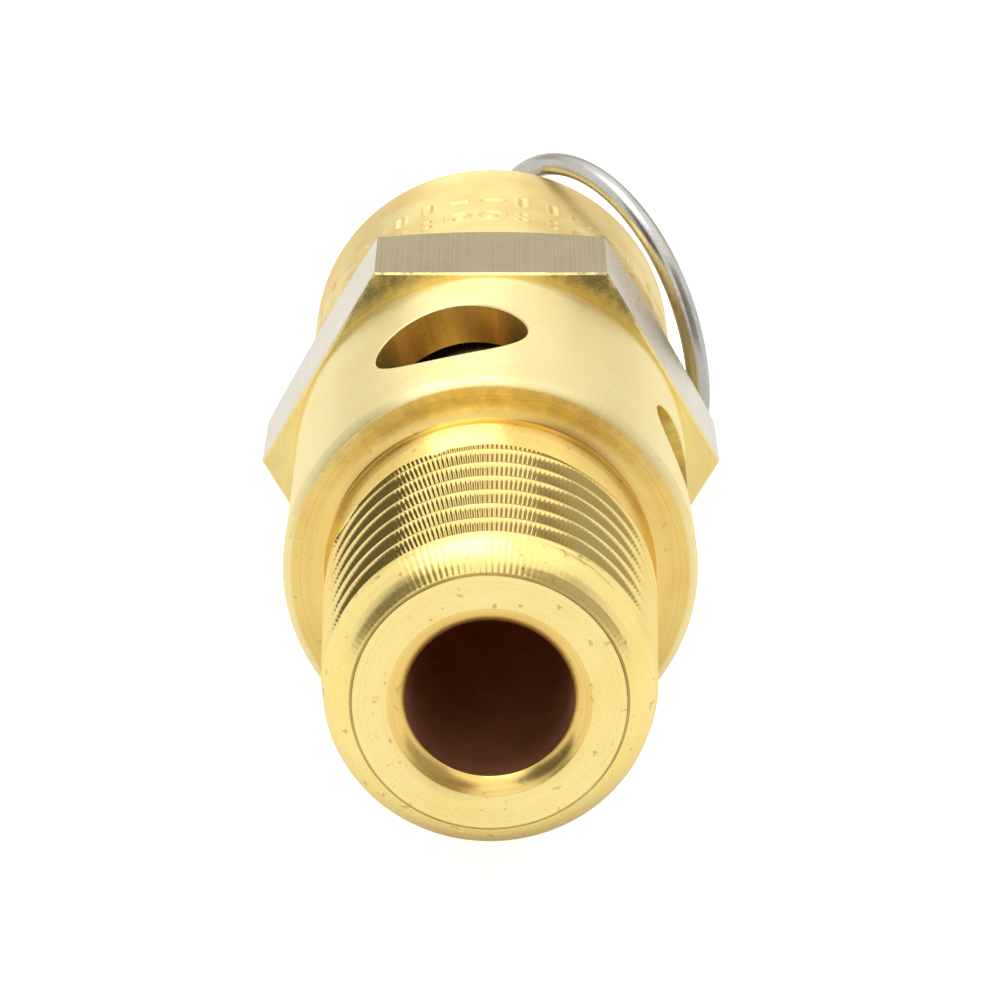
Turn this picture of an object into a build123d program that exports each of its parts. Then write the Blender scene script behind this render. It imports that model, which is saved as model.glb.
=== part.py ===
from build123d import *
import os
from math import cos, sin, radians, tan

# Pressure relief valve for an air receiver, lying on one flat of its hexagon.
# The origin is the centre of the inlet end. +Y runs along the valve's axis, from the inlet to the pull ring.
# All lengths are in millimetres. "y" is always a distance from the inlet end.

# Inlet nipple: a 1/4-18 NPT male thread, whose radius grows by 1 in 32.
PITCH = 25.4 / 18
CREST_RADIUS_AT_END = 6.63
TAPER = 1 / 32
THREAD_DEPTH = 0.90
THREAD_FLAT = 0.14
FIRST_GROOVE_Y = 2.18
GROOVES = 7
NOSE_RADIUS = 5.46
NOSE_CHAMFER_Y = 0.94
BORE_RADIUS = 3.35
BORE_CHAMFER = 0.43
BORE_CHAMFER_WIDTH = 0.65

# Collar and hexagon.
COLLAR_Y = 13.3
COLLAR_RADIUS = 8.8
COLLAR_CHAMFER = 0.35
HEX_Y = 26.7
HEX_END_Y = 33.0
HEX_ACROSS_FLATS = 18.0
HEX_FRONT_CHAMFER = 0.12
HEX_BACK_ANGLE = 30

# Chamber, seat nozzle and discharge holes.
CHAMBER_FLOOR_Y = 15.2
CHAMBER_END_Y = 26.8
CHAMBER_RADIUS = 7.0
SEAT_Y = 16.4
SEAT_LIP_RADIUS = 4.25
SEAT_CONE_WIDTH = 0.3
HOLE_Y = 19.9
HOLE_RADIUS = 3.36
HOLE_COUNT = 4
HOLE_TURN = -12.0

# Bonnet: its spigot is drawn at the pitch radius of an M15 x 1 thread.
BONNET_RADIUS = 8.65
BONNET_END_Y = 44.9
BONNET_END_FILLET = 1.2
SPIGOT_Y = 27.4
SPIGOT_RADIUS = 7.4
SPRING_ROOM_RADIUS = 6.2
SPRING_ROOM_END_Y = 40.2

# Adjusting screw (M10 x 1, drawn at its pitch radius) and lock nut.
SCREW_Y = 38.5
SCREW_END_Y = 47.2
SCREW_RADIUS = 4.7
SCREW_SLOT_WIDTH = 1.4
SCREW_SLOT_DEPTH = 0.8
NUT_ACROSS_FLATS = 11.0
NUT_THICKNESS = 1.6
EDGE = 0.3

# The pieces that lift off the seat.
DISC_RADIUS = 5.0
DISC_THICKNESS = 1.6
HOLDER_RADIUS = 5.9
HOLDER_RIM_Y = 16.9
HOLDER_END_Y = 20.5
BOSS_RADIUS = 3.3
BOSS_END_Y = 24.6
STEM_RADIUS = 2.0
STEM_Y = 19.0
STEM_END_Y = 52.4
DRIVE_PIN_Y = 23.4
DRIVE_PIN_RADIUS = 0.5
DRIVE_PIN_SHORT = 0.1
STEM_CLEARANCE = 0.08

# Spring and the steps that centre its ends.
WIRE_RADIUS = 0.7
COIL_RADIUS = 5.0
COIL_TURNS = 7.5
STEP_RADIUS = 5.8
STEP_THICKNESS = 1.2
STEP_BOSS_RADIUS = 4.1
STEP_BOSS_HEIGHT = 0.9
STEP_BORE = 2.3

# Pull ring: one turn of wire. It hangs from the stem's cross hole, folded back against the bonnet's side.
RING_RADIUS = 8.5
RING_WIRE_RADIUS = 0.55
RING_GAP = 1.0
RING_HOLE_Y = 50.2
RING_HOLE_RADIUS = 1.15
RING_AXIS_LEAN = 7.5
RING_FOLD = 145.0
RING_ENDS_AT = 130.0
RING_PLAY = 0.15


def along(y):
    """The plane across the valve's axis at y, facing +Y."""
    return Plane(origin=(0, y, 0), x_dir=(1, 0, 0), z_dir=(0, 1, 0))


def turned(*outline):
    """A solid turned about the valve's axis from an outline of (radius, y) points."""
    return revolve(make_face(Polyline(*outline, close=True)), Axis.Y)


def rod(radius, y_from, y_to):
    """A plain round bar on the valve's axis."""
    return turned((0, y_from), (radius, y_from), (radius, y_to), (0, y_to))


def tube(inner, outer, y_from, y_to):
    """A plain ring or tube on the valve's axis."""
    return turned((inner, y_from), (outer, y_from), (outer, y_to), (inner, y_to))


def hexagon(across_flats, y_from, y_to):
    """A hexagonal bar with one flat up and one down."""
    outline = along(y_from) * RegularPolygon(across_flats / 2, 6, major_radius=False)
    return extrude(outline, y_to - y_from)


def crest_radius(y):
    """Radius of the tapered thread's crests at y."""
    return CREST_RADIUS_AT_END + y * TAPER


def thread_outline():
    """The nipple's side from the end chamfer to the collar: one V groove for each turn of thread."""
    points = [(NOSE_RADIUS, 0), (crest_radius(NOSE_CHAMFER_Y), NOSE_CHAMFER_Y)]
    half = (PITCH - 2 * THREAD_FLAT) / 2
    for turn in range(GROOVES):
        middle = FIRST_GROOVE_Y + turn * PITCH
        depth = THREAD_DEPTH if turn < GROOVES - 1 else THREAD_DEPTH / 2
        root = crest_radius(middle) - depth
        start = middle - THREAD_FLAT / 2 - half
        stop = middle + THREAD_FLAT / 2 + half
        points.append((crest_radius(start), start))
        points.append((root, middle - THREAD_FLAT / 2))
        points.append((root, middle + THREAD_FLAT / 2))
        points.append((crest_radius(stop), stop))
    points.append((crest_radius(COLLAR_Y), COLLAR_Y))
    return points


def valve_base():
    """The brass base: nipple, collar, hexagon, seat nozzle, chamber and four discharge holes."""
    turning = turned(
        (BORE_RADIUS, SEAT_Y),
        (BORE_RADIUS, BORE_CHAMFER),
        (BORE_RADIUS + BORE_CHAMFER_WIDTH, 0),
        *thread_outline(),
        (COLLAR_RADIUS - COLLAR_CHAMFER, COLLAR_Y),
        (COLLAR_RADIUS, COLLAR_Y + COLLAR_CHAMFER),
        (COLLAR_RADIUS, HEX_Y),
        (COLLAR_RADIUS, HEX_END_Y),
        (SPIGOT_RADIUS, HEX_END_Y),
        (SPIGOT_RADIUS, CHAMBER_END_Y),
        (CHAMBER_RADIUS, CHAMBER_END_Y),
        (CHAMBER_RADIUS, CHAMBER_FLOOR_Y),
        (SEAT_LIP_RADIUS + SEAT_CONE_WIDTH, CHAMBER_FLOOR_Y),
        (SEAT_LIP_RADIUS, SEAT_Y),
    )
    corner = HEX_ACROSS_FLATS / 2 / cos(radians(30))
    back = (corner - BONNET_RADIUS) * tan(radians(HEX_BACK_ANGLE))
    envelope = turned(
        (SPIGOT_RADIUS, HEX_Y),
        (corner - HEX_FRONT_CHAMFER, HEX_Y),
        (corner, HEX_Y + HEX_FRONT_CHAMFER),
        (corner, HEX_END_Y - back),
        (BONNET_RADIUS, HEX_END_Y),
        (SPIGOT_RADIUS, HEX_END_Y),
    )
    base = turning + (hexagon(HEX_ACROSS_FLATS, HEX_Y, HEX_END_Y) & envelope)
    for hole in range(HOLE_COUNT):
        turn = radians(HOLE_TURN + hole * 360 / HOLE_COUNT)
        outward = Plane(origin=(0, HOLE_Y, 0), z_dir=(sin(turn), 0, cos(turn)))
        drill = extrude(outward.offset(SEAT_LIP_RADIUS + 1) * Circle(HOLE_RADIUS), COLLAR_RADIUS)
        base -= drill
    return base


def bonnet():
    """The round spring housing: a threaded spigot below, and a thread for the adjusting screw at its end."""
    outline = Polyline(
        (SPRING_ROOM_RADIUS, SPIGOT_Y),
        (SPIGOT_RADIUS - EDGE, SPIGOT_Y),
        (SPIGOT_RADIUS, SPIGOT_Y + EDGE),
        (SPIGOT_RADIUS, HEX_END_Y),
        (BONNET_RADIUS, HEX_END_Y),
        (BONNET_RADIUS, BONNET_END_Y - BONNET_END_FILLET),
    )
    rim = RadiusArc(
        (BONNET_RADIUS, BONNET_END_Y - BONNET_END_FILLET),
        (BONNET_RADIUS - BONNET_END_FILLET, BONNET_END_Y),
        -BONNET_END_FILLET,
    )
    inside = Polyline(
        (BONNET_RADIUS - BONNET_END_FILLET, BONNET_END_Y),
        (SCREW_RADIUS, BONNET_END_Y),
        (SCREW_RADIUS, SPRING_ROOM_END_Y),
        (SPRING_ROOM_RADIUS, SPRING_ROOM_END_Y),
        (SPRING_ROOM_RADIUS, SPIGOT_Y),
    )
    return revolve(make_face(outline + rim + inside), Axis.Y)


def seat_disc():
    """The rubber disc that closes the seat."""
    return rod(DISC_RADIUS, SEAT_Y, SEAT_Y + DISC_THICKNESS)


def disc_holder():
    """The brass cup for the seat disc, with a drilled boss for the stem and a cross hole for its pin."""
    cup = turned(
        (0, SEAT_Y + DISC_THICKNESS),
        (DISC_RADIUS, SEAT_Y + DISC_THICKNESS),
        (DISC_RADIUS, HOLDER_RIM_Y),
        (HOLDER_RADIUS - EDGE, HOLDER_RIM_Y),
        (HOLDER_RADIUS, HOLDER_RIM_Y + EDGE),
        (HOLDER_RADIUS, HOLDER_END_Y),
        (BOSS_RADIUS, HOLDER_END_Y),
        (BOSS_RADIUS, BOSS_END_Y - EDGE),
        (BOSS_RADIUS - EDGE, BOSS_END_Y),
        (STEM_RADIUS, BOSS_END_Y),
        (STEM_RADIUS, STEM_Y),
        (0, STEM_Y),
    )
    return cup - pin_bar()


def pin_bar():
    """The drive pin's bar, across the boss, with its ends just below the boss's side."""
    middle = Plane(origin=(0, DRIVE_PIN_Y, 0), z_dir=(1, 0, 0))
    return extrude(middle * Circle(DRIVE_PIN_RADIUS), BOSS_RADIUS - DRIVE_PIN_SHORT, both=True)


def ring_hinge_direction():
    """The cross hole's direction: nearly upright, leaning a little towards -X."""
    lean = radians(RING_AXIS_LEAN)
    return Vector(-sin(lean), 0, cos(lean))


def ring_plane():
    """The pull ring's own plane: origin at its centre, x away from the stem, z across the ring."""
    hinge = ring_hinge_direction()
    straight_back = Vector(0, 1, 0)
    away = straight_back.rotate(Axis((0, 0, 0), hinge), -RING_FOLD)
    centre = Vector(0, RING_HOLE_Y, 0) + away * (RING_RADIUS + RING_PLAY)
    return Plane(origin=centre, x_dir=away, z_dir=away.cross(hinge))


def stem():
    """The stem: chamfered at its free end, drilled for the drive pin and for the pull ring."""
    bar = turned(
        (0, STEM_Y),
        (STEM_RADIUS, STEM_Y),
        (STEM_RADIUS, STEM_END_Y - 2 * EDGE),
        (STEM_RADIUS - 2 * EDGE, STEM_END_Y),
        (0, STEM_END_Y),
    )
    across = Plane(origin=(0, RING_HOLE_Y, 0), z_dir=ring_hinge_direction())
    ring_hole = extrude(across * Circle(RING_HOLE_RADIUS), 2 * STEM_RADIUS, both=True)
    return bar - ring_hole - pin_bar()


def spring_step(bore, y_face, y_boss):
    """A washer that the spring stands on, with a low boss inside the coil."""
    plate_end = y_face + (STEP_THICKNESS if y_boss > y_face else -STEP_THICKNESS)
    return turned(
        (bore, y_face),
        (STEP_RADIUS, y_face),
        (STEP_RADIUS, plate_end),
        (STEP_BOSS_RADIUS, plate_end),
        (STEP_BOSS_RADIUS, y_boss),
        (bore, y_boss),
    )


def lower_spring_step():
    """The step that rides on the disc holder."""
    top = HOLDER_END_Y + STEP_THICKNESS + STEP_BOSS_HEIGHT
    return spring_step(BOSS_RADIUS, HOLDER_END_Y, top)


def upper_spring_step():
    """The step under the adjusting screw."""
    bottom = SCREW_Y - STEP_THICKNESS - STEP_BOSS_HEIGHT
    return spring_step(STEP_BORE, SCREW_Y, bottom)


def coil(radius, wire, pitch, turns, frame):
    """Round wire wound about the frame's z axis, starting at its origin's level."""
    path = frame * Helix(pitch, pitch * turns, radius)
    start = Plane(origin=path @ 0, z_dir=path % 0)
    return sweep(start * Circle(wire), path=path, is_frenet=True)


def spring():
    """The coil spring, with both ends ground flat."""
    low = HOLDER_END_Y + STEP_THICKNESS
    high = SCREW_Y - STEP_THICKNESS
    pitch = (high - low) / COIL_TURNS
    wound = coil(COIL_RADIUS, WIRE_RADIUS, pitch, COIL_TURNS, along(low))
    return wound & tube(STEM_RADIUS, 2 * COIL_RADIUS, low, high)


def adjusting_screw():
    """The hollow screw that loads the spring and guides the stem, with a slot across its end."""
    bore = STEM_RADIUS + STEM_CLEARANCE
    screw = turned(
        (bore, SCREW_Y),
        (SCREW_RADIUS - EDGE, SCREW_Y),
        (SCREW_RADIUS, SCREW_Y + EDGE),
        (SCREW_RADIUS, SCREW_END_Y - 2 * EDGE),
        (SCREW_RADIUS - 2 * EDGE, SCREW_END_Y),
        (bore, SCREW_END_Y),
    )
    slot = Pos(0, SCREW_END_Y, 0) * Box(SCREW_SLOT_WIDTH, 2 * SCREW_SLOT_DEPTH, 3 * SCREW_RADIUS)
    return screw - slot


def lock_nut():
    """The thin hexagon nut that locks the adjusting screw against the bonnet."""
    end = BONNET_END_Y + NUT_THICKNESS
    corner = NUT_ACROSS_FLATS / 2 / cos(radians(30))
    envelope = turned(
        (SCREW_RADIUS, BONNET_END_Y),
        (corner, BONNET_END_Y),
        (corner, end - EDGE),
        (corner - 2 * EDGE, end),
        (SCREW_RADIUS, end),
    )
    return hexagon(NUT_ACROSS_FLATS, BONNET_END_Y, end) & envelope


def pull_ring():
    """The ring: round wire bent to a circle until its ends almost meet."""
    frame = ring_plane()
    start = frame * Rot(0, 0, RING_ENDS_AT)
    section = start * Pos(RING_RADIUS, 0, 0) * Rot(90, 0, 0) * Circle(RING_WIRE_RADIUS)
    return revolve(section, Axis(frame.origin, frame.z_dir), 360 - RING_GAP)


pieces = {
    "valve_base": valve_base(),
    "bonnet": bonnet(),
    "seat_disc": seat_disc(),
    "disc_holder": disc_holder(),
    "drive_pin": pin_bar(),
    "stem": stem(),
    "lower_spring_step": lower_spring_step(),
    "spring": spring(),
    "upper_spring_step": upper_spring_step(),
    "adjusting_screw": adjusting_screw(),
    "lock_nut": lock_nut(),
    "pull_ring": pull_ring(),
}
os.makedirs("parts", exist_ok=True)
for name, piece in pieces.items():
    piece.label = name
    export_step(piece, f"parts/{name}.step")
    print(name, len(piece.solids()), round(piece.volume, 2))
hinge = ring_hinge_direction()
print("ring hinge", RING_HOLE_Y, round(hinge.X, 5), round(hinge.Y, 5), round(hinge.Z, 5))
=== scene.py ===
import bpy
import numpy as np
from math import cos, pi, radians, sin, tan
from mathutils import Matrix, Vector


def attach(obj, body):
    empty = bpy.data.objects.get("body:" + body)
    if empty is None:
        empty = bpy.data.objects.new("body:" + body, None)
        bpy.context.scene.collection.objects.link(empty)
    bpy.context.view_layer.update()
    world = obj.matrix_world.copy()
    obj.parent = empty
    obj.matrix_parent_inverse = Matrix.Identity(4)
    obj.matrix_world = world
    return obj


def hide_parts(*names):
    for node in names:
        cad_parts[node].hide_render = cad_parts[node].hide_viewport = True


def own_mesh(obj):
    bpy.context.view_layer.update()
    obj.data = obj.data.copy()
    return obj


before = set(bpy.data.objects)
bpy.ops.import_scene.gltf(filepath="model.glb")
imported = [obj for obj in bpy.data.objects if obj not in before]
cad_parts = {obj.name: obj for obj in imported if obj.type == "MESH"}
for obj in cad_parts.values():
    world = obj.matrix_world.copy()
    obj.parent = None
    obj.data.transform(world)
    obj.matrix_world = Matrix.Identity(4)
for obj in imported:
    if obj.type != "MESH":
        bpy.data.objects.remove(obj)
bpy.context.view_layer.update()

# ---------------------------------------------------------------------------------------------------------
# Valve base: one turning of brass hexagon bar. The inlet end carries the tapered pipe thread, then come the
# collar with its four drilled discharge holes and the hexagon. Inside are the seat nozzle and the chamber.
# Outer turned faces are bright brass; the bore, the chamber and the fine step at the nose are darker brass
# as painted shade. The hexagon's flats keep the duller skin of the drawn bar.

MM = 0.001
JOIN_GRID = 0.002 * MM
COLUMNS = 360  # one degree apart, so a column falls on each corner of the hexagon
BASE_ROUND = np.radians(np.linspace(0, 360, COLUMNS + 1))
STEPS_UP = 40  # points up each side of a drilled band's border

PITCH = 25.4 / 18
CREST_AT_END = 6.63
TAPER = 1 / 32
THREAD_DEPTH = 0.90
THREAD_FLAT = 0.05
RELIEF_RADIUS = 6.2
NOSE_RADIUS = 5.40
NOSE_STEP = 0.08
END_CHAMFER_Y = 1.53
THREAD_FADE_Y = 1.15
THREAD_FADE_LENGTH = 0.5
THREAD_DIES_Y = 11.45
THREAD_DIES_LENGTH = 0.6
RELIEF_START_Y = 10.75
RELIEF_START_RADIUS = 7.2
RELIEF_FULL_Y = 11.4
GROOVE_Y = 2.18
THREAD_START_Y = 0.20
THREAD_TURNS = 7
THREAD_END_Y = THREAD_START_Y + (THREAD_TURNS + 1) * PITCH
BORE_RADIUS = 3.35
MOUTH_RADIUS = 4.04
MOUTH_Y = 0.46
SEAT_Y = 16.4
COLLAR_Y = 13.3
COLLAR_RADIUS = 8.8
COLLAR_BEVEL = 0.4
FLANGE_EDGE = 8.43
ROOT = (7.0, 13.0)  # radius and y where the relief's rising cone ends and the collar's fillet begins
HEX_Y = 26.7
HEX_END_Y = 33.0
HEX_HALF = 9.0
HEX_EDGE = 0.1
HOLE_Y = 19.9
HOLE_RADIUS = 3.36
HOLE_EDGE = 0.07
HOLE_ANGLES = np.radians(-12 + 90 * np.arange(4))
CHAMBER_RADIUS = 7.0
CHAMBER_FLOOR_Y = 15.2
CHAMBER_END_Y = 26.8
SPIGOT_RADIUS = 7.4
BONNET_RADIUS = 8.65


def placed(radius, y, angle):
    """Points in metres from a radius and y in mm and an angle from straight up towards +X: x is radius times
    the sine, z is radius times the cosine. The three arrays are broadcast together."""
    radius, y, angle = np.broadcast_arrays(radius, y, angle)
    return np.stack([radius * np.sin(angle), y, radius * np.cos(angle)], -1) * MM


def patch(points, finish=0):
    """A skin over a grid of points: one four-sided face between neighbouring rows and columns. Its outside is
    on the side of column direction crossed with row direction. finish picks the piece's material, for all the
    faces or for each one."""
    rows, columns = points.shape[:2]
    index = np.arange(rows * columns).reshape(rows, columns)
    corners = [index[:-1, :-1], index[:-1, 1:], index[1:, 1:], index[1:, :-1]]
    return points.reshape(-1, 3), np.stack(corners, -1).reshape(-1, 4), finish


def turned(outline, finish=0, angles=BASE_ROUND):
    """A skin turned about the valve's axis: each (radius, y) point of the outline goes round every angle."""
    outline = np.array(outline, float)
    return patch(placed(outline[:, :1], outline[:, 1:], angles[None, :]), finish)


def rounded(start, corner, end, steps=5):
    """Points of a rounded corner: a quadratic curve from start to end, pulled towards the corner."""
    t = np.linspace(0, 1, steps)[:, None]
    return (1 - t) ** 2 * np.array(start) + 2 * t * (1 - t) * np.array(corner) + t**2 * np.array(end)


def made_piece(name, patches, materials, body, node, sharp=32):
    """One mesh from all the patches of a piece: their points are put end to end, points that fall on the same
    spot of a grid of JOIN_GRID are joined, and edges sharper than the given angle stay crisp. The piece
    rides on its body and stands for its node, whose CAD part is hidden."""
    counts = np.cumsum([0] + [len(points) for points, _, _ in patches])
    points = np.concatenate([points for points, _, _ in patches])
    faces = np.concatenate([f + start for (_, f, _), start in zip(patches, counts)])
    finishes = np.concatenate([np.broadcast_to(finish, len(f)) for _, f, finish in patches])
    joined = np.round(points / JOIN_GRID).astype(np.int64)
    _, first, inverse = np.unique(joined, axis=0, return_index=True, return_inverse=True)
    faces = inverse.reshape(-1)[faces]
    repeats = (faces == np.roll(faces, -1, 1)).sum(1)
    loops = [list(dict.fromkeys(f)) if r else f for f, r in zip(faces.tolist(), repeats)]
    kept = [i for i, loop in enumerate(loops) if len(loop) > 2]
    mesh = bpy.data.meshes.new(name)
    mesh.from_pydata(points[first].tolist(), [], [loops[i] for i in kept])
    for material in materials:
        mesh.materials.append(material)
    mesh.polygons.foreach_set("material_index", finishes[kept].astype(np.int32))
    mesh.polygons.foreach_set("use_smooth", np.ones(len(kept), bool))
    mesh.set_sharp_from_angle(angle=radians(sharp))
    mesh.validate()
    piece = bpy.data.objects.new(name, mesh)
    bpy.context.scene.collection.objects.link(piece)
    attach(piece, body)
    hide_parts(node)
    return piece


def end_chamfer(y):
    """Radius of the nose at y: a chamfer that rounds over to the crests, behind a fine step left by the
    facing tool. Past its far edge it leaves the crests alone."""
    stops = [NOSE_STEP, 0.12, 0.30, 0.54, 0.80, 1.04, 1.30, END_CHAMFER_Y, 1.80]
    return np.interp(y, stops, [5.52, 5.60, 5.88, 6.13, 6.34, 6.50, 6.61, 6.68, 8.0])


def thread_radius(y, angle):
    """Radius of the thread at y and an angle: the crest cone, less a V groove with softly rounded corners.
    The groove's middle moves on by one pitch each turn. It fades in behind the end chamfer and dies out at
    the relief before the collar, and both of those cut the crests."""
    crest = CREST_AT_END + y * TAPER
    turns = (y - GROOVE_Y) / PITCH - angle / (2 * pi)
    off_middle = np.abs(turns - np.round(turns)) * PITCH
    flank = PITCH / 2 - 2 * THREAD_FLAT
    groove = np.clip((PITCH / 2 - THREAD_FLAT - off_middle) / flank, 0, 1)
    groove = 0.4 * groove + 0.6 * (0.5 - 0.5 * np.cos(pi * groove))
    fading_in = np.clip((y - THREAD_FADE_Y) / THREAD_FADE_LENGTH, 0, 1)
    dying_out = np.clip((THREAD_DIES_Y - y) / THREAD_DIES_LENGTH, 0, 1)
    depth = THREAD_DEPTH * fading_in * dying_out
    relief = np.interp(y, [RELIEF_START_Y, RELIEF_FULL_Y], [RELIEF_START_RADIUS, RELIEF_RADIUS])
    return np.minimum(np.minimum(crest - depth * groove, end_chamfer(y)), relief)


def thread_skin(chamfer_finish, thread_finish):
    """The thread as a ribbon one pitch wide that winds round with the helix, so its crests lie along its
    edges. A wedge at each end fills from the ribbon's slanting edge to a plain circle. Faces in front of the
    end chamfer's far edge have the chamfer's finish."""
    groove = (GROOVE_Y - THREAD_START_Y) / PITCH % 1
    flat = THREAD_FLAT / PITCH
    corners = np.sort((groove + np.array([-0.5 + flat, -flat, flat, 0.5 - flat])) % 1)
    stops = np.concatenate([[0], corners, [1]])
    steps = [np.linspace(a, b, 2 + int((b - a) * 16))[:-1] for a, b in zip(stops[:-1], stops[1:])]
    across = np.concatenate(steps + [[1.0]])[:, None]
    turn = np.linspace(0, THREAD_TURNS * 2 * pi, THREAD_TURNS * COLUMNS + 1)[None, :]
    ribbon = THREAD_START_Y + PITCH * (turn / (2 * pi) + across)
    edge = PITCH * BASE_ROUND[None, :] / (2 * pi)
    front = THREAD_START_Y + across * edge
    back = THREAD_END_Y - (1 - across) * (PITCH - edge)
    skins = []
    for y, angle in ((ribbon, turn), (front, BASE_ROUND[None, :]), (back, BASE_ROUND[None, :])):
        middle_y = (y[:-1, :-1] + y[1:, 1:]) / 2
        finish = np.where(middle_y < END_CHAMFER_Y, chamfer_finish, thread_finish).reshape(-1)
        skins.append(patch(placed(thread_radius(y, angle), y, angle), finish))
    return skins


def drilled_band(radius, y_low, y_high, hole_y, hole_radius, hole_angles, half_turn, step, finish,
                 outside=True):
    """A cylinder's skin with round holes: one patch per hole, whose rows go from the hole's edge out to the
    border of its share of the band. Border points are evenly spaced so that they meet the next patches.
    outside is False for a wall that faces the axis. Also returns the angles of the points round the hole."""
    across = np.radians(np.arange(-half_turn, half_turn, step))
    up = y_low + (y_high - y_low) * np.arange(0, 1, 1 / STEPS_UP)
    side = radians(half_turn)
    right, left = np.full(STEPS_UP, side), np.full(STEPS_UP, -side)
    border_angle = np.concatenate([across, right, -across, left, [-side]])
    low, high = np.full(len(across), y_low), np.full(len(across), y_high)
    border_y = np.concatenate([low, up, high, y_low + y_high - up, [y_low]])
    around = np.arctan2(border_y - hole_y, border_angle * radius)
    edge_angle = np.arcsin(hole_radius * np.cos(around) / radius)
    edge_y = hole_y + hole_radius * np.sin(around)
    out = (np.linspace(0, 1, 9) ** 1.5)[:, None]
    angle = edge_angle + (border_angle - edge_angle) * out
    y = edge_y + (border_y - edge_y) * out
    if outside:
        angle, y = angle[::-1], y[::-1]
    return [patch(placed(radius, y, angle + turn), finish) for turn in hole_angles], around


def hole_wall(hole_y, turn, stations, finish):
    """The wall of a hole drilled square to the axis. Each station is a hole radius, the radius of the
    cylinder that it meets and the angles round the hole of that cylinder's points; the wall's height there
    is the root of cylinder squared less offset squared."""
    rows = []
    for hole_radius, meets, around in stations:
        aside = hole_radius * np.cos(around)
        height = np.sign(meets) * np.sqrt(meets**2 - aside**2)
        x = aside * cos(turn) + height * sin(turn)
        z = height * cos(turn) - aside * sin(turn)
        rows.append(np.stack([x, hole_y + hole_radius * np.sin(around), z], -1) * MM)
    return patch(np.array(rows), finish)


def hex_radius(half, angle):
    """Distance from the axis to a hexagon's side: half the flats' distance over the cosine of the angle from
    the middle of the nearest flat."""
    return half / np.cos((angle + pi / 6) % (pi / 3) - pi / 6)


MEAN_RADIUS = 8.0  # turns an angle into mm of arc for the lines that follow it
NICK = (0.30, 0.22, 0.08, 1)
# Colour of noisy stain patches, which are made stronger on upper sides as painted shade.
STAIN_AND_TOP_SHADE = (0.21, 0.18, 0.088, 1)
CHATTER_TURN = radians(7)  # the deepest chatter lies this far from the top, towards -X


def shader(name):
    """A new material with a Principled shader; returns the material and its tree."""
    material = bpy.data.materials.new(name)
    material.use_nodes = True
    return material, material.node_tree


def add(tree, kind, inputs=(), **settings):
    """One shader node: settings are its own options, and inputs are (socket, number or output) pairs."""
    node = tree.nodes.new(kind)
    for key, value in settings.items():
        setattr(node, key, value)
    for socket, value in inputs:
        if isinstance(value, bpy.types.NodeSocket):
            tree.links.new(value, node.inputs[socket])
        else:
            node.inputs[socket].default_value = value
    return node


def sums(tree, operation, first, second=0.0, third=0.0):
    """One sum on numbers or outputs."""
    return add(tree, "ShaderNodeMath", [(0, first), (1, second), (2, third)], operation=operation).outputs[0]


def lathe_places(tree):
    """Where a spot is on the turning, in mm and radians: radius, y, angle, and the plain mm vector."""
    spot = add(tree, "ShaderNodeTexCoord").outputs["Object"]
    scaled = add(tree, "ShaderNodeVectorMath", [(0, spot), ("Scale", 1 / MM)], operation="SCALE").outputs[0]
    x, y, z = add(tree, "ShaderNodeSeparateXYZ", [(0, scaled)]).outputs
    radius = sums(tree, "SQRT", sums(tree, "ADD", sums(tree, "MULTIPLY", x, x), sums(tree, "MULTIPLY", z, z)))
    return radius, y, sums(tree, "ARCTAN2", x, z), scaled


def noise(tree, vector, scale, detail=3.0, roughness=0.5):
    """Smooth noise from 0 to 1 at a scale per mm."""
    inputs = [("Vector", vector), ("Scale", scale), ("Detail", detail), ("Roughness", roughness)]
    return add(tree, "ShaderNodeTexNoise", inputs).outputs["Fac"]


def line_noise(tree, along, scale, detail=4.0):
    """Noise that changes only along one number, as tool marks do."""
    inputs = [("W", along), ("Scale", scale), ("Detail", detail), ("Roughness", 0.7)]
    return add(tree, "ShaderNodeTexNoise", inputs, noise_dimensions="1D").outputs["Fac"]


def mapped(tree, value, low, high, to_low, to_high):
    """A number carried from one range to another and held at its ends."""
    inputs = [("Value", value), ("From Min", low), ("From Max", high)]
    inputs += [("To Min", to_low), ("To Max", to_high)]
    return add(tree, "ShaderNodeMapRange", inputs).outputs[0]


def blended(tree, amount, first, second):
    """A colour between two others."""
    mix = add(tree, "ShaderNodeMix", [(0, amount), (6, first), (7, second)], data_type="RGBA")
    return mix.outputs[2]


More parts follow.
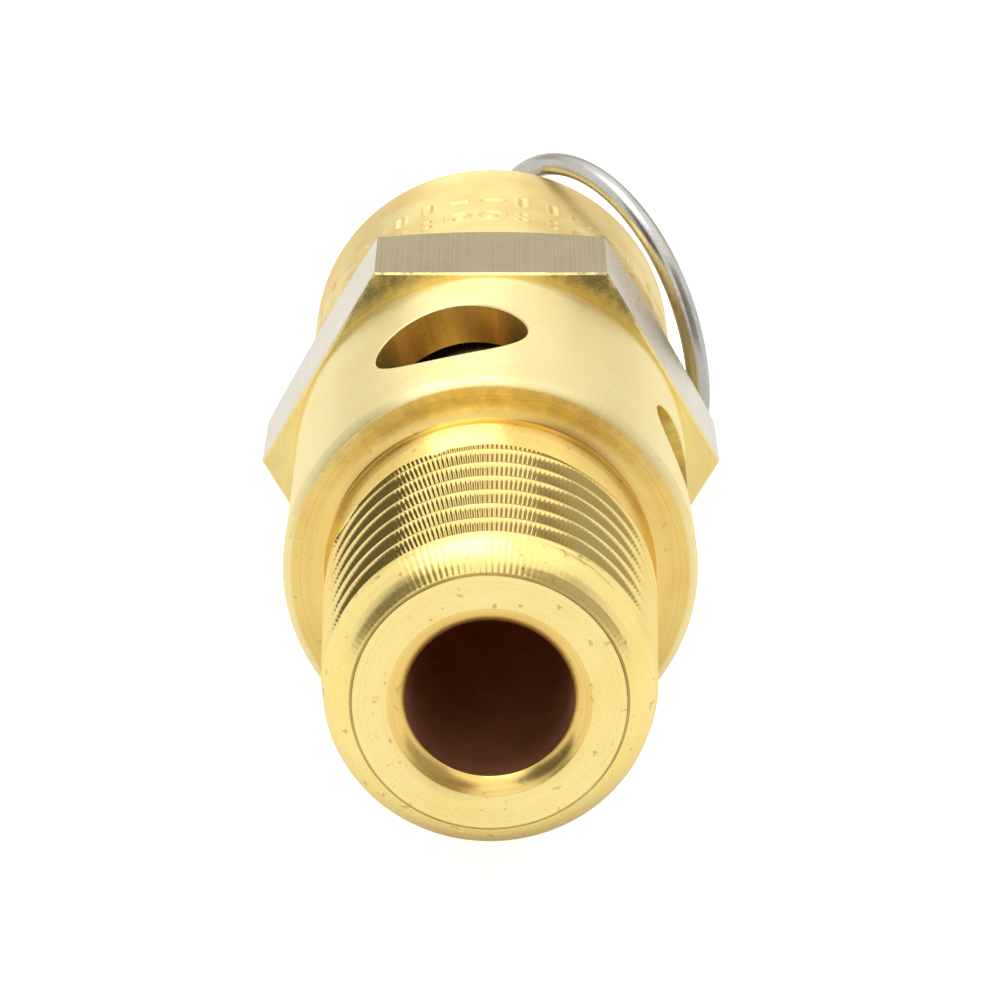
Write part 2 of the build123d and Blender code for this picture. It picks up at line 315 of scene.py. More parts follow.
def metal(name, bright, dull, rough, line_height, lines_along="y", line_scale=9.0, chatter=None, grain=0.15,
          stretch=0.6, pits=0.0, stained_and_shaded=None, streaks=0.4):
    """A turned or drawn metal. Colour runs from bright to dull with soft blotches and tool lines; roughness
    varies a little with the lines and a fine grain. Tool lines are spaced along y, the radius or the angle,
    or round a discharge hole. chatter gives the number and the height in mm of even chatter marks round the
    axis, deepest near the top. stretch draws highlights out across the tool lines, and streaks is the lines'
    share of the colour. pits darkens small nicks. The argument after pits gives the two radii between which
    dark patches come in, and how strong they are: noisy stains, made stronger on the upper side as painted
    shade that darkens the top."""
    material, tree = shader(name)
    surface = tree.nodes["Principled BSDF"]
    radius, y, angle, spot = lathe_places(tree)
    blotches = noise(tree, spot, 0.35)
    fine = noise(tree, spot, 6.0, 5.0, 0.65)
    hole_side = sums(tree, "SINE", sums(tree, "MULTIPLY", sums(tree, "SUBTRACT", angle, HOLE_ANGLES[0]), 4.0))
    hole_side = sums(tree, "MULTIPLY", hole_side, COLLAR_RADIUS / 4)
    hole_turn = sums(tree, "ARCTAN2", sums(tree, "SUBTRACT", y, HOLE_Y), hole_side)
    arc = sums(tree, "MULTIPLY", angle, MEAN_RADIUS)
    along = {"y": y, "radius": radius, "angle": arc, "hole": hole_turn}[lines_along]
    lines = line_noise(tree, along, line_scale)
    lined = sums(tree, "MULTIPLY", lines, streaks)
    mixed = sums(tree, "ADD", sums(tree, "MULTIPLY", blotches, 1 - streaks), lined)
    colour = blended(tree, mapped(tree, mixed, 0.38, 0.66, 0.0, 1.0), (*bright, 1), (*dull, 1))
    if pits:
        nicks = mapped(tree, noise(tree, spot, 2.1, 3.0), 0.645, 0.70, 0.0, pits)
        colour = blended(tree, nicks, colour, NICK)
    # Dark noisy patches between two radii, made stronger on the upper side: partly stains, partly painted
    # shade on the top.
    if stained_and_shaded:
        stain_and_shade = mapped(tree, noise(tree, spot, 1.6, 6.0, 0.75), 0.40, 0.56, 0.55, 1.0)
        stain_and_shade = sums(tree, "MULTIPLY", stain_and_shade, mapped(tree, radius, *stained_and_shaded[:2], 0.0, stained_and_shaded[2]))
        _, _, up = add(tree, "ShaderNodeSeparateXYZ", [(0, spot)]).outputs
        stain_and_shade = sums(tree, "MULTIPLY", stain_and_shade, mapped(tree, up, 3.5, 6.5, 0.15, 1.0))
        colour = blended(tree, stain_and_shade, colour, STAIN_AND_TOP_SHADE)
    tree.links.new(colour, surface.inputs["Base Color"])
    surface.inputs["Metallic"].default_value = 1.0
    sheen = sums(tree, "ADD", sums(tree, "MULTIPLY", lines, 0.5), sums(tree, "MULTIPLY", fine, 0.5))
    tree.links.new(mapped(tree, sheen, 0.3, 0.7, rough * 0.8, rough * 1.3), surface.inputs["Roughness"])
    tangent = add(tree, "ShaderNodeTangent", direction_type="RADIAL", axis="Y").outputs[0]
    tree.links.new(tangent, surface.inputs["Tangent"])
    surface.inputs["Anisotropic"].default_value = stretch
    surface.inputs["Anisotropic Rotation"].default_value = 0.0 if lines_along == "angle" else 0.25
    height = sums(tree, "ADD", lines, sums(tree, "MULTIPLY", fine, grain))
    if chatter:
        wave = sums(tree, "SINE", sums(tree, "MULTIPLY", angle, chatter[0]))
        from_worst = sums(tree, "ABSOLUTE", sums(tree, "ADD", angle, CHATTER_TURN))
        wave = sums(tree, "MULTIPLY", wave, mapped(tree, from_worst, radians(17), radians(30), 1.0, 0.12))
        height = sums(tree, "ADD", height, sums(tree, "MULTIPLY", wave, chatter[1] / line_height))
    inputs = [("Height", height), ("Strength", 1.0), ("Distance", line_height * MM)]
    tree.links.new(add(tree, "ShaderNodeBump", inputs).outputs[0], surface.inputs["Normal"])
    return material


BRIGHT_BRASS = (0.96, 0.79, 0.34)
WARM_BRASS = (0.93, 0.72, 0.26)
THREAD_BRASS = (0.93, 0.74, 0.29)
THREAD_WARM = (0.90, 0.67, 0.22)
BAR_SKIN = (0.72, 0.67, 0.52)
BAR_SKIN_DULL = (0.54, 0.47, 0.32)

base_materials = [
    metal("brass_turned", (0.98, 0.86, 0.47), (0.96, 0.79, 0.36), 0.40, 0.0012, grain=0.9, stretch=0.85,
          pits=0.12),
    metal("brass_thread", THREAD_BRASS, THREAD_WARM, 0.13, 0.0020, line_scale=14.0, chatter=(216, 0.0065),
          stretch=0.1),
    metal("brass_faced", BRIGHT_BRASS, WARM_BRASS, 0.20, 0.0030, lines_along="radius", line_scale=7.0),
    metal("brass_nose", BRIGHT_BRASS, WARM_BRASS, 0.26, 0.0050, lines_along="radius", line_scale=5.0,
          pits=0.5),
    metal("brass_chamfer", (0.98, 0.79, 0.31), (0.96, 0.73, 0.24), 0.25, 0.0040, chatter=(150, 0.0040),
          pits=0.5),
    # The flange gets stain patches with painted shade on its upper side.
    metal("brass_flange", (0.90, 0.67, 0.22), (0.82, 0.56, 0.16), 0.22, 0.0030, lines_along="radius",
          pits=0.3, stained_and_shaded=(7.2, 7.6, 0.45)),
    # The hexagon's face gets strong stain patches with painted shade on its upper side.
    metal("brass_hex_face", BRIGHT_BRASS, WARM_BRASS, 0.18, 0.0060, lines_along="radius", grain=1.5,
          stained_and_shaded=(8.7, 9.6, 0.95)),
    metal("brass_bar_skin", BAR_SKIN, BAR_SKIN_DULL, 0.24, 0.0040, lines_along="angle", line_scale=14.0,
          streaks=0.8),
    metal("brass_drilled", (1.0, 0.78, 0.23), (0.75, 0.48, 0.10), 0.30, 0.0020, lines_along="hole",
          line_scale=1.8, streaks=0.9),
    # Dull dark brass for the fine step at the nose: painted shade in its notch.
    metal("brass_step_painted_shade", (0.60, 0.44, 0.15), (0.40, 0.29, 0.10), 0.25, 0.0010),
    # Darker, redder brass for the bore and the chamber walls: painted shade inside the hollows.
    metal("brass_bore_painted_shade", (0.64, 0.32, 0.17), (0.52, 0.25, 0.13), 0.45, 0.0005),
]
TURNED, THREAD, FACED, NOSE, CHAMFER, FLANGE, HEX_FACE, SKIN, DRILLED, STEP_SHADE, BORE_SHADE = range(11)

back_y = HEX_END_Y - (hex_radius(HEX_HALF, BASE_ROUND) - BONNET_RADIUS) * tan(pi / 6)
side = hex_radius(HEX_HALF, BASE_ROUND)
hex_rows = [(COLLAR_RADIUS, HEX_Y), (side - HEX_EDGE, HEX_Y), (side, HEX_Y + HEX_EDGE), (side, back_y),
            (BONNET_RADIUS, HEX_END_Y)]
hex_points = np.array([placed(radius, y, BASE_ROUND) for radius, y in hex_rows])
mouth_corner = rounded((BORE_RADIUS + 0.04, 0.40), (BORE_RADIUS + 0.35, 0.08), (MOUTH_RADIUS - 0.04, 0.02))
collar_corner = [*rounded((FLANGE_EDGE, COLLAR_Y), (8.5, COLLAR_Y), (8.54, COLLAR_Y + 0.05), 4),
                 *rounded((8.74, COLLAR_Y + 0.25), (COLLAR_RADIUS, COLLAR_Y + 0.31),
                          (COLLAR_RADIUS, COLLAR_Y + COLLAR_BEVEL), 4)]
base_patches = [
    # The bore and chamber faces take the darker brass that paints their shade.
    turned([(BORE_RADIUS, SEAT_Y), (BORE_RADIUS, MOUTH_Y)], BORE_SHADE),
    turned([(BORE_RADIUS, MOUTH_Y), *mouth_corner, (MOUTH_RADIUS, 0)], FLANGE),
    turned([(MOUTH_RADIUS, 0), (4.7, 0), (NOSE_RADIUS, 0)], NOSE),
    # The fine step left by the facing tool, in dark brass as painted shade.
    turned([(NOSE_RADIUS, 0), (5.43, NOSE_STEP), (5.52, NOSE_STEP)], STEP_SHADE),
    turned([(end_chamfer(y), y) for y in (NOSE_STEP, 0.12, THREAD_START_Y)], CHAMFER),
    *thread_skin(CHAMFER, THREAD),
    turned([(RELIEF_RADIUS, THREAD_END_Y), (6.22, 11.62), (6.46, 12.0), (6.94, 12.85), ROOT], FLANGE),
    turned([ROOT, (7.04, 13.24), (7.14, COLLAR_Y), (7.8, COLLAR_Y), (FLANGE_EDGE, COLLAR_Y)], FLANGE),
    turned(collar_corner, TURNED),
    patch(hex_points[:3], HEX_FACE),
    patch(hex_points[2:4], SKIN),
    patch(hex_points[3:], FACED),
    turned([(BONNET_RADIUS, HEX_END_Y), (SPIGOT_RADIUS, HEX_END_Y), (SPIGOT_RADIUS, CHAMBER_END_Y),
            (CHAMBER_RADIUS, CHAMBER_END_Y)], BORE_SHADE),
    turned([(CHAMBER_RADIUS, CHAMBER_FLOOR_Y), (4.55, CHAMBER_FLOOR_Y), (4.25, SEAT_Y - 0.06),
            (4.15, SEAT_Y), (BORE_RADIUS, SEAT_Y)], BORE_SHADE),
]
collar, around_collar = drilled_band(COLLAR_RADIUS, COLLAR_Y + COLLAR_BEVEL, HEX_Y, HOLE_Y,
                                     HOLE_RADIUS + HOLE_EDGE, HOLE_ANGLES, 45, 1, TURNED)
chamber, around_chamber = drilled_band(CHAMBER_RADIUS, CHAMBER_FLOOR_Y, CHAMBER_END_Y, HOLE_Y, HOLE_RADIUS,
                                       HOLE_ANGLES, 45, 1, BORE_SHADE, outside=False)
base_patches += collar + chamber
for turn in HOLE_ANGLES:
    rim = (HOLE_RADIUS + HOLE_EDGE, COLLAR_RADIUS, around_collar)
    mouth = (HOLE_RADIUS, COLLAR_RADIUS - HOLE_EDGE, around_collar)
    inner_end = (HOLE_RADIUS, CHAMBER_RADIUS, around_chamber)
    base_patches.append(hole_wall(HOLE_Y, turn, [rim, mouth], TURNED))
    base_patches.append(hole_wall(HOLE_Y, turn, [mouth, inner_end], DRILLED))
made_piece("valve_base_brass", base_patches, base_materials, "body", "valve_base")

# ---------------------------------------------------------------------------------------------------------
# Bonnet: the spring housing, turned from round brass bar and screwed into the base behind the hexagon.
# Its far rim is rounded off. Two rows of plain punch marks cross its upper side, where a maker would stamp
# ratings.

BONNET_END_Y = 44.9
BONNET_FILLET = 1.2
SPIGOT_Y = 27.4
SCREW_RADIUS = 4.7
SPRING_ROOM_RADIUS = 6.2
SPRING_ROOM_END_Y = 40.2
MARK_DEPTH = 0.07
MARK_ROWS_Y = (36.6, 38.9)
MARK_SPACING = radians(10)
MARK_RING = 0.42
MARK_BAR = 0.5
MARK_DOTS = 0.4
MARK_DASH = 0.35
MARK_WIDTH = 0.13
LIP_HEIGHT = 0.35
LIP_DISTANCE = 0.26
LIP_WIDTH = 0.10
STAMPED_HALF = 75  # degrees each side of the top

bonnet_brass = metal("brass_bonnet", (0.93, 0.78, 0.38), (0.80, 0.58, 0.20), 0.40, 0.0010, grain=0.8,
                     stretch=0.85)


def punched(angle, y):
    """Depth of the punch marks as a share of MARK_DEPTH: each cell of the two rows holds a ring, a bar, a
    pair of dots or a dash, picked by the cell's number. It falls off as a bell curve of the distance from
    the mark's line, less a lower bell beside it for the metal that the punch pushes up."""
    depth = np.zeros(np.broadcast(angle, y).shape)
    for row, row_y in enumerate(MARK_ROWS_Y):
        cell = np.round(angle / MARK_SPACING)
        along = (angle - cell * MARK_SPACING) * BONNET_RADIUS
        up = y - row_y
        kind = (cell * 5 + row * 3 + cell**2) % 4
        ring = np.abs(np.hypot(along, up) - MARK_RING)
        bar = np.hypot(along, np.maximum(np.abs(up) - MARK_BAR, 0))
        dots = np.minimum(np.hypot(along, up - MARK_DOTS), np.hypot(along, up + MARK_DOTS))
        dash = np.hypot(np.maximum(np.abs(along) - MARK_DASH, 0), up)
        distance = np.choose(kind.astype(int), [ring, bar, dots, dash])
        depth += np.exp(-((distance / MARK_WIDTH) ** 2))
        depth -= LIP_HEIGHT * np.exp(-(((distance - LIP_DISTANCE) / LIP_WIDTH) ** 2))
    return depth


stamped_round = np.radians(np.linspace(-STAMPED_HALF, STAMPED_HALF, 751))
plain_round = np.radians(np.linspace(STAMPED_HALF, 360 - STAMPED_HALF, 211))
band_y = np.linspace(MARK_ROWS_Y[0] - 1.1, MARK_ROWS_Y[1] + 1.1, 66)
fillet = rounded((BONNET_RADIUS, BONNET_END_Y - BONNET_FILLET), (BONNET_RADIUS, BONNET_END_Y),
                 (BONNET_RADIUS - BONNET_FILLET, BONNET_END_Y), 12)
below = [(SPIGOT_RADIUS, HEX_END_Y), (8.5, HEX_END_Y), (BONNET_RADIUS, HEX_END_Y + 0.15),
         (BONNET_RADIUS, band_y[0])]
above = [(BONNET_RADIUS, band_y[-1]), *fillet, (SCREW_RADIUS + 0.3, BONNET_END_Y), (SCREW_RADIUS, 44.6),
         (SCREW_RADIUS, SPRING_ROOM_END_Y), (SPRING_ROOM_RADIUS, SPRING_ROOM_END_Y),
         (SPRING_ROOM_RADIUS, SPIGOT_Y), (SPIGOT_RADIUS - 0.3, SPIGOT_Y),
         (SPIGOT_RADIUS, SPIGOT_Y + 0.3), (SPIGOT_RADIUS, HEX_END_Y)]
bonnet_patches = [turned(outline, 0, angles) for outline in (below, above)
                  for angles in (stamped_round, plain_round)]
stamped = BONNET_RADIUS - MARK_DEPTH * punched(stamped_round[None, :], band_y[:, None])
stamped[[0, -1]] = BONNET_RADIUS
stamped[:, [0, -1]] = BONNET_RADIUS
bonnet_patches.append(patch(placed(stamped, band_y[:, None], stamped_round[None, :])))
bonnet_patches.append(turned([(BONNET_RADIUS, y) for y in band_y], 0, plain_round))
made_piece("bonnet_brass", bonnet_patches, [bonnet_brass], "body", "bonnet")

# ---------------------------------------------------------------------------------------------------------
# Seat disc: a plain disc of dark red-brown rubber, pressed into the disc holder. It closes the inlet bore
# from inside.

DISC_RADIUS = 5.0
DISC_END_Y = 18.0
DISC_EDGE = 0.15

seat_rubber, rubber_tree = shader("rubber_seat")
rubber = rubber_tree.nodes["Principled BSDF"]
_, _, _, rubber_spot = lathe_places(rubber_tree)
grain = noise(rubber_tree, rubber_spot, 3.0, 4.0)
rubber_tree.links.new(blended(rubber_tree, grain, (0.42, 0.125, 0.072, 1), (0.36, 0.105, 0.060, 1)),
                      rubber.inputs["Base Color"])
rubber.inputs["Roughness"].default_value = 0.55
speckle = [("Height", noise(rubber_tree, rubber_spot, 12.0)), ("Distance", 0.01 * MM)]
rubber_tree.links.new(add(rubber_tree, "ShaderNodeBump", speckle).outputs[0], rubber.inputs["Normal"])
disc_outline = [(0, SEAT_Y), (DISC_RADIUS - DISC_EDGE, SEAT_Y), (DISC_RADIUS, SEAT_Y + DISC_EDGE),
                (DISC_RADIUS, DISC_END_Y), (0, DISC_END_Y)]
made_piece("seat_disc_rubber", [turned(disc_outline)], [seat_rubber], "lift", "seat_disc")

# ---------------------------------------------------------------------------------------------------------
# Disc holder: a turned brass cup that grips the seat disc's edge, with a drilled boss for the stem.
# The drive pin is a short ground steel pin pressed across the boss and the stem.

HOLDER_RADIUS = 5.9
HOLDER_END_Y = 20.5
BOSS_RADIUS = 3.3
BOSS_END_Y = 24.6
STEM_RADIUS = 2.0
STEM_Y = 19.0
PIN_Y = 23.4
PIN_RADIUS = 0.5
PIN_LOW = PIN_Y - 0.8
PIN_HIGH = PIN_Y + 0.8
PIN_SHORT = 0.1
PIN_EDGE = 0.1
EDGE = 0.3

holder_brass = metal("brass_holder", (0.84, 0.64, 0.28), (0.70, 0.48, 0.18), 0.26, 0.003)
steel_dark = (0.42, 0.41, 0.39)
ground_steel = metal("steel_pin", (0.60, 0.59, 0.57), steel_dark, 0.22, 0.002, stretch=0.3)
holder_outline = [(0, DISC_END_Y), (DISC_RADIUS, DISC_END_Y), (DISC_RADIUS, 16.98), (5.08, 16.9),
                  (5.6, 16.9), (HOLDER_RADIUS, 17.2), (HOLDER_RADIUS, 18.4), (5.75, 18.5), (5.75, 18.8),
                  (HOLDER_RADIUS, 18.9), (HOLDER_RADIUS, HOLDER_END_Y - 0.1),
                  (HOLDER_RADIUS - 0.1, HOLDER_END_Y), (BOSS_RADIUS, HOLDER_END_Y), (BOSS_RADIUS, PIN_LOW)]
holder_top = [(BOSS_RADIUS, PIN_HIGH), (BOSS_RADIUS, BOSS_END_Y - EDGE),
              (BOSS_RADIUS - EDGE, BOSS_END_Y), (STEM_RADIUS, BOSS_END_Y)]
quarter_turns = np.radians([90, 270])
boss_round = np.radians(np.linspace(0, 360, 121))
pin_hole = (PIN_LOW, PIN_HIGH, PIN_Y, PIN_RADIUS, quarter_turns, 90, 3, 0)
boss, around_boss = drilled_band(BOSS_RADIUS, *pin_hole)
socket, around_socket = drilled_band(STEM_RADIUS, *pin_hole, outside=False)
holder_patches = [turned(holder_outline, 0, boss_round), turned(holder_top, 0, boss_round), *boss, *socket,
                  turned([(STEM_RADIUS, BOSS_END_Y), (STEM_RADIUS, PIN_HIGH)], 0, boss_round),
                  turned([(STEM_RADIUS, PIN_LOW), (STEM_RADIUS, STEM_Y), (0, STEM_Y)], 0, boss_round)]
for turn in quarter_turns:
    stations = [(PIN_RADIUS, BOSS_RADIUS, around_boss), (PIN_RADIUS, STEM_RADIUS, around_socket)]
    holder_patches.append(hole_wall(PIN_Y, turn, stations, 0))
made_piece("disc_holder_brass", holder_patches, [holder_brass], "lift", "disc_holder")

PIN_HALF = BOSS_RADIUS - PIN_SHORT
pin_turn = np.radians(np.linspace(0, 360, 25))[None, :]
pin_rows = np.array([(0, -PIN_HALF), (PIN_RADIUS - PIN_EDGE, -PIN_HALF), (PIN_RADIUS, -PIN_HALF + PIN_EDGE),
                     (PIN_RADIUS, PIN_HALF - PIN_EDGE), (PIN_RADIUS - PIN_EDGE, PIN_HALF), (0, PIN_HALF)])
pin_radius, pin_along = pin_rows[:, :1], pin_rows[:, 1:] + 0 * pin_turn
pin_height = PIN_Y + pin_radius * np.cos(pin_turn)
pin_points = np.stack([pin_along, pin_height, pin_radius * np.sin(pin_turn)], -1) * MM
made_piece("drive_pin_steel", [patch(pin_points)], [ground_steel], "lift", "drive_pin")

# ---------------------------------------------------------------------------------------------------------
# Stem: a turned stainless rod, rounded at its free end and cross-drilled there for the pull ring. Its other
# end sits in the disc holder's boss, where the drive pin locks it.

STEM_END_Y = 52.4
RING_HOLE_Y = 50.2
RING_HOLE_RADIUS = 1.15
RING_HOLE_EDGE = 0.08
RING_HOLE_BAND = 1.5
RING_LEAN = radians(-7.5)

stem_steel = metal("steel_stem", (0.66, 0.65, 0.62), steel_dark, 0.24, 0.002)
cross_turns = np.array([RING_LEAN, RING_LEAN + pi])
hole_low, hole_high = RING_HOLE_Y - RING_HOLE_BAND, RING_HOLE_Y + RING_HOLE_BAND
stem_round = RING_LEAN + pi / 2 + np.radians(np.linspace(0, 360, 121))
stem_band, around_ring = drilled_band(STEM_RADIUS, hole_low, hole_high, RING_HOLE_Y,
                                      RING_HOLE_RADIUS + RING_HOLE_EDGE, cross_turns, 90, 3, 0)
stem_tip = rounded((STEM_RADIUS, 51.8), (1.95, 52.3), (1.4, STEM_END_Y))
stem_patches = [turned([(0, STEM_Y), (STEM_RADIUS, STEM_Y), (STEM_RADIUS, hole_low)], 0, stem_round),
                turned([(STEM_RADIUS, hole_high), *stem_tip, (0, STEM_END_Y)], 0, stem_round), *stem_band]
near_mouth = (RING_HOLE_RADIUS, STEM_RADIUS - RING_HOLE_EDGE, around_ring)
far_mouth = (RING_HOLE_RADIUS, RING_HOLE_EDGE - STEM_RADIUS, around_ring)
for turn in cross_turns:
    rim = (RING_HOLE_RADIUS + RING_HOLE_EDGE, STEM_RADIUS, around_ring)
    stem_patches.append(hole_wall(RING_HOLE_Y, turn, [rim, near_mouth], 0))
stem_patches.append(hole_wall(RING_HOLE_Y, RING_LEAN, [near_mouth, far_mouth], 0))
made_piece("stem_steel", stem_patches, [stem_steel], "lift", "stem")

# ---------------------------------------------------------------------------------------------------------
# Spring steps: two turned brass washers, one on the disc holder and one under the adjusting screw. Each has a
# low boss that keeps the coil's end in the middle.

STEP_RADIUS = 5.8
STEP_BOSS = 4.1
STEP_BOSS_HEIGHT = 0.9
STEP_THICKNESS = 1.2
STEP_BORE = 2.3
STEP_EDGE = 0.15
SCREW_Y = 38.5

step_brass = metal("brass_step", (0.80, 0.60, 0.26), (0.66, 0.45, 0.17), 0.30, 0.003)
low_face = HOLDER_END_Y + STEP_THICKNESS
high_face = SCREW_Y - STEP_THICKNESS
lower_outline = [(BOSS_RADIUS, HOLDER_END_Y), (STEP_RADIUS - STEP_EDGE, HOLDER_END_Y),
                 (STEP_RADIUS, HOLDER_END_Y + STEP_EDGE), (STEP_RADIUS, low_face - STEP_EDGE),
                 (STEP_RADIUS - STEP_EDGE, low_face), (STEP_BOSS, low_face), (STEP_BOSS, low_face + 0.7),
                 (STEP_BOSS - 0.2, low_face + STEP_BOSS_HEIGHT), (BOSS_RADIUS, low_face + STEP_BOSS_HEIGHT),
                 (BOSS_RADIUS, HOLDER_END_Y)]
upper_outline = [(STEP_BORE, high_face - STEP_BOSS_HEIGHT), (STEP_BOSS - 0.2, high_face - STEP_BOSS_HEIGHT),
                 (STEP_BOSS, high_face - 0.7), (STEP_BOSS, high_face), (STEP_RADIUS - STEP_EDGE, high_face),
                 (STEP_RADIUS, high_face + STEP_EDGE), (STEP_RADIUS, SCREW_Y - STEP_EDGE),
                 (STEP_RADIUS - STEP_EDGE, SCREW_Y), (STEP_BORE, SCREW_Y),
                 (STEP_BORE, high_face - STEP_BOSS_HEIGHT)]
made_piece("lower_step_brass", [turned(lower_outline, 0, boss_round)], [step_brass], "lift",
           "lower_spring_step")
made_piece("upper_step_brass", [turned(upper_outline, 0, boss_round)], [step_brass], "body",
           "upper_spring_step")

# ---------------------------------------------------------------------------------------------------------
# Spring: stainless wire wound cold into a coil, with a closed turn at each end that is ground flat. In the
# valve the seat's lift closes it up against the upper step; here it is one fixed coil on the body.

COIL_RADIUS = 5.0
COIL_TURNS = 7.5
CLOSED_TURNS = 0.75
COIL_SEAT = 0.55
SPRING_WIRE = 0.7


def wire_skin(line, side, other, radius, sides=16):
    """A round wire: at each point of the line a circle of the wire's radius, in the plane of two directions,
    with a flat cap at each end."""
    turn = np.linspace(0, 2 * pi, sides + 1)[None, :, None]
    rows = line[:, None] + radius * (np.cos(turn) * side[:, None] + np.sin(turn) * other[:, None])
    first, last = (np.repeat(end[None], sides + 1, 1) for end in (line[:1], line[-1:]))
    return np.concatenate([first, rows, last])


spring_wire = metal("steel_spring", (0.50, 0.48, 0.45), (0.30, 0.28, 0.25), 0.24, 0.002, stretch=0.2)
share = np.linspace(0, 1, 640)
coil_turn = share * COIL_TURNS * 2 * pi
rise = np.clip((share * COIL_TURNS - CLOSED_TURNS) / (COIL_TURNS - 2 * CLOSED_TURNS), 0, 1)
coil_y = low_face + COIL_SEAT + (high_face - low_face - 2 * COIL_SEAT) * rise
coil_line = placed(COIL_RADIUS, coil_y, coil_turn) / MM
coil_out = placed(1.0, 0.0, coil_turn) / MM
coil_up = np.tile([0.0, 1.0, 0.0], (len(share), 1))
coil = wire_skin(coil_line, coil_out, coil_up, SPRING_WIRE)
coil[..., 1] = np.clip(coil[..., 1], low_face, high_face)
spring = made_piece("spring_wire", [patch(coil[:, ::-1] * MM)], [spring_wire], "body",
                    "spring", sharp=50)
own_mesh(spring)

# ---------------------------------------------------------------------------------------------------------
# Adjusting screw: a hollow brass screw in the bonnet's end, with a slotted end face. Its fine thread is drawn
# as a plain cylinder, as the CAD has it. The lock nut is a thin brass hexagon nut that holds it.

NUT_HALF = 5.5
NUT_END_Y = BONNET_END_Y + 1.6
NUT_CHAMFER = 0.25

screw_brass = metal("brass_screw", (0.86, 0.66, 0.30), WARM_BRASS, 0.26, 0.003)
nut_brass = metal("brass_nut", (0.88, 0.70, 0.34), WARM_BRASS, 0.26, 0.003, lines_along="radius")
nut_skin = metal("brass_nut_skin", (0.80, 0.70, 0.48), (0.70, 0.58, 0.36), 0.30, 0.003, lines_along="angle")
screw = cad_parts["adjusting_screw"]
screw.data.materials.clear()
screw.data.materials.append(screw_brass)
nut_round = np.radians(np.linspace(0, 360, 121))
nut_side = hex_radius(NUT_HALF, nut_round)
nut_bevel = NUT_END_Y - 0.06 - (nut_side - NUT_HALF) * 0.5
nut_foot = BONNET_END_Y + 0.05 + (nut_side - NUT_HALF) * 0.25
nut_rows = [(SCREW_RADIUS, BONNET_END_Y), (NUT_HALF - 0.1, BONNET_END_Y), (nut_side, nut_foot),
            (nut_side, nut_bevel), (NUT_HALF - 0.1, NUT_END_Y), (SCREW_RADIUS + NUT_CHAMFER, NUT_END_Y),
            (SCREW_RADIUS, NUT_END_Y - NUT_CHAMFER), (SCREW_RADIUS, BONNET_END_Y)]
nut_points = np.array([placed(radius, y, nut_round) for radius, y in nut_rows])
made_piece("lock_nut_brass", [patch(nut_points[:3]), patch(nut_points[2:4], 1), patch(nut_points[3:])],
           [nut_brass, nut_skin], "body", "lock_nut")

# ---------------------------------------------------------------------------------------------------------
# Pull ring: one turn of drawn stainless wire whose ends almost meet. It goes through the stem's cross hole
# and lies folded back against the bonnet's side.

RING_RADIUS = 8.5
RING_WIRE = 0.55
RING_GAP = radians(1)
RING_PLAY = 0.15
RING_STEPS = 361
RING_FOLD = radians(145)
RING_START = radians(130)

ring_steel = metal("steel_ring", (0.57, 0.56, 0.53), (0.42, 0.41, 0.38), 0.22, 0.003, stretch=0.0)
hinge = np.array([sin(RING_LEAN), 0, cos(RING_LEAN)])
back = np.array([0.0, 1.0, 0.0])
away = back * cos(RING_FOLD) - np.cross(hinge, back) * sin(RING_FOLD)
across_ring = np.cross(away, hinge)
ring_turn = (RING_START + np.linspace(0, 2 * pi - RING_GAP, RING_STEPS))[:, None]
ring_out = np.cos(ring_turn) * away + np.sin(ring_turn) * hinge
ring_line = RING_HOLE_Y * back + (RING_RADIUS + RING_PLAY) * away + RING_RADIUS * ring_out
ring_skin = wire_skin(ring_line, ring_out, np.tile(across_ring, (RING_STEPS, 1)), RING_WIRE, 32)
made_piece("pull_ring_wire", [patch(ring_skin[:, ::-1] * MM)], [ring_steel], "ring",
           "pull_ring", sharp=50)

# ---------------------------------------------------------------------------------------------------------
# Stage: a plain pale table under the lowest flat, a white room with soft bright and dark bands for the brass
# to mirror, and one large soft lamp above.

floor_z = -HEX_HALF * MM
floor_mesh = bpy.data.meshes.new("table")
corners = np.array([[-1, -1], [1, -1], [1, 1], [-1, 1]]) * 3.0
floor_mesh.from_pydata([(x, y, floor_z) for x, y in corners], [], [(0, 1, 2, 3)])
table_material, table_tree = shader("table_white")
table_tree.nodes["Principled BSDF"].inputs["Base Color"].default_value = (0.80, 0.80, 0.80, 1)
table_tree.nodes["Principled BSDF"].inputs["Roughness"].default_value = 0.6
table_tree.nodes["Principled BSDF"].inputs["Emission Color"].default_value = (1, 1, 1, 1)
seen_table = add(table_tree, "ShaderNodeLightPath").outputs["Is Camera Ray"]
table_tree.links.new(mapped(table_tree, seen_table, 0.0, 1.0, 0.06, 0.75),
                     table_tree.nodes["Principled BSDF"].inputs["Emission Strength"])
floor_mesh.materials.append(table_material)
table = bpy.data.objects.new("table", floor_mesh)
bpy.context.scene.collection.objects.link(table)

world = bpy.data.worlds.new("white_room")
world.use_nodes = True
room = world.node_tree
way = add(room, "ShaderNodeTexCoord").outputs["Generated"]


def room_band(value, low, high, soft):
    """1 while a value lies between low and high, falling to 0 over a soft border outside them."""
    rising = mapped(room, value, low - soft, low, 0.0, 1.0)
    return sums(room, "MULTIPLY", rising, mapped(room, value, high, high + soft, 1.0, 0.0))


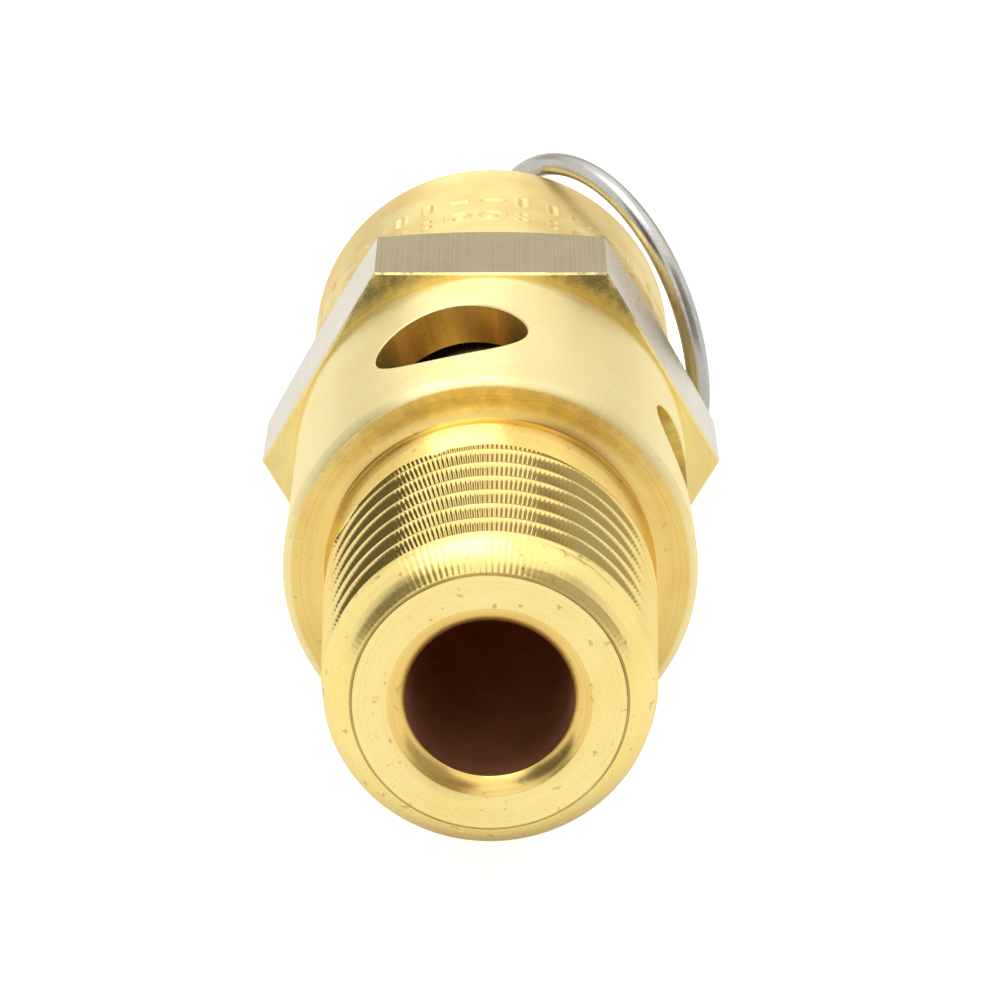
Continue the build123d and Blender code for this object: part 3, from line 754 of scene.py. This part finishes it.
across, inward, upward = add(room, "ShaderNodeSeparateXYZ", [(0, way)]).outputs
front_turn = sums(room, "ARCTAN2", across, sums(room, "MULTIPLY", inward, -1.0))
back_turn = sums(room, "ARCTAN2", across, inward)
height = sums(room, "ARCSINE", upward)
front_height = room_band(height, radians(-2), radians(43), radians(5))
left_turn = room_band(front_turn, radians(-66), radians(-27), radians(5))
left_front = sums(room, "MULTIPLY", left_turn, front_height)
right_turn = room_band(front_turn, radians(12), radians(66), radians(5))
right_front = sums(room, "MULTIPLY", right_turn, front_height)
brown_turn = room_band(front_turn, radians(12), radians(30), radians(4))
brown_front = sums(room, "MULTIPLY", brown_turn, front_height)
back_band = sums(room, "MULTIPLY", room_band(back_turn, radians(-48), radians(48), radians(12)),
                 room_band(height, radians(15), radians(27), radians(4)))
bright_front = sums(room, "MULTIPLY", room_band(front_turn, radians(-27), radians(12), radians(4)),
                    room_band(height, radians(24), radians(56), radians(8)))
overhead = room_band(height, radians(52), radians(90), radians(12))
walls = blended(room, overhead, (1.04, 1.04, 1.04, 1), (1.32, 1.32, 1.32, 1))
walls = blended(room, back_band, walls, (0.60, 0.53, 0.37, 1))
walls = blended(room, bright_front, walls, (1.2, 1.2, 1.2, 1))
walls = blended(room, left_front, walls, (0.13, 0.12, 0.09, 1))
walls = blended(room, right_front, walls, (0.42, 0.40, 0.34, 1))
walls = blended(room, brown_front, walls, (0.34, 0.25, 0.22, 1))
seen = add(room, "ShaderNodeLightPath").outputs["Is Camera Ray"]
background = room.nodes["Background"]
room.links.new(blended(room, seen, walls, (1.0, 1.0, 1.0, 1)), background.inputs["Color"])
background.inputs["Strength"].default_value = 1.0
bpy.context.scene.world = world


def lamp(name, place, aim, size, power):
    """A square soft lamp at a place, aimed at a point, all in metres."""
    light = bpy.data.lights.new(name, "AREA")
    light.size = size
    light.energy = power
    holder = bpy.data.objects.new(name, light)
    direction = Vector(aim) - Vector(place)
    holder.rotation_euler = direction.to_track_quat("-Z", "Y").to_euler()
    holder.location = place
    bpy.context.scene.collection.objects.link(holder)


lamp("lamp_above", (-0.10, 0.02, 0.45), (0, 0.025, 0), 0.30, 0.5)

# The camera stands in front of the inlet and looks down on it by about 21 degrees.
camera_data = bpy.data.cameras.new("camera")
camera_data.lens = 144
camera_data.sensor_width = 36
camera_data.clip_start = 0.01
camera = bpy.data.objects.new("camera", camera_data)
camera.location = (0.41 * MM, -143.08 * MM, 64.39 * MM)
camera.rotation_euler = (radians(68.685), 0, 0)
bpy.context.scene.collection.objects.link(camera)
bpy.context.scene.camera = camera
bpy.context.scene.view_settings.view_transform = "Standard"
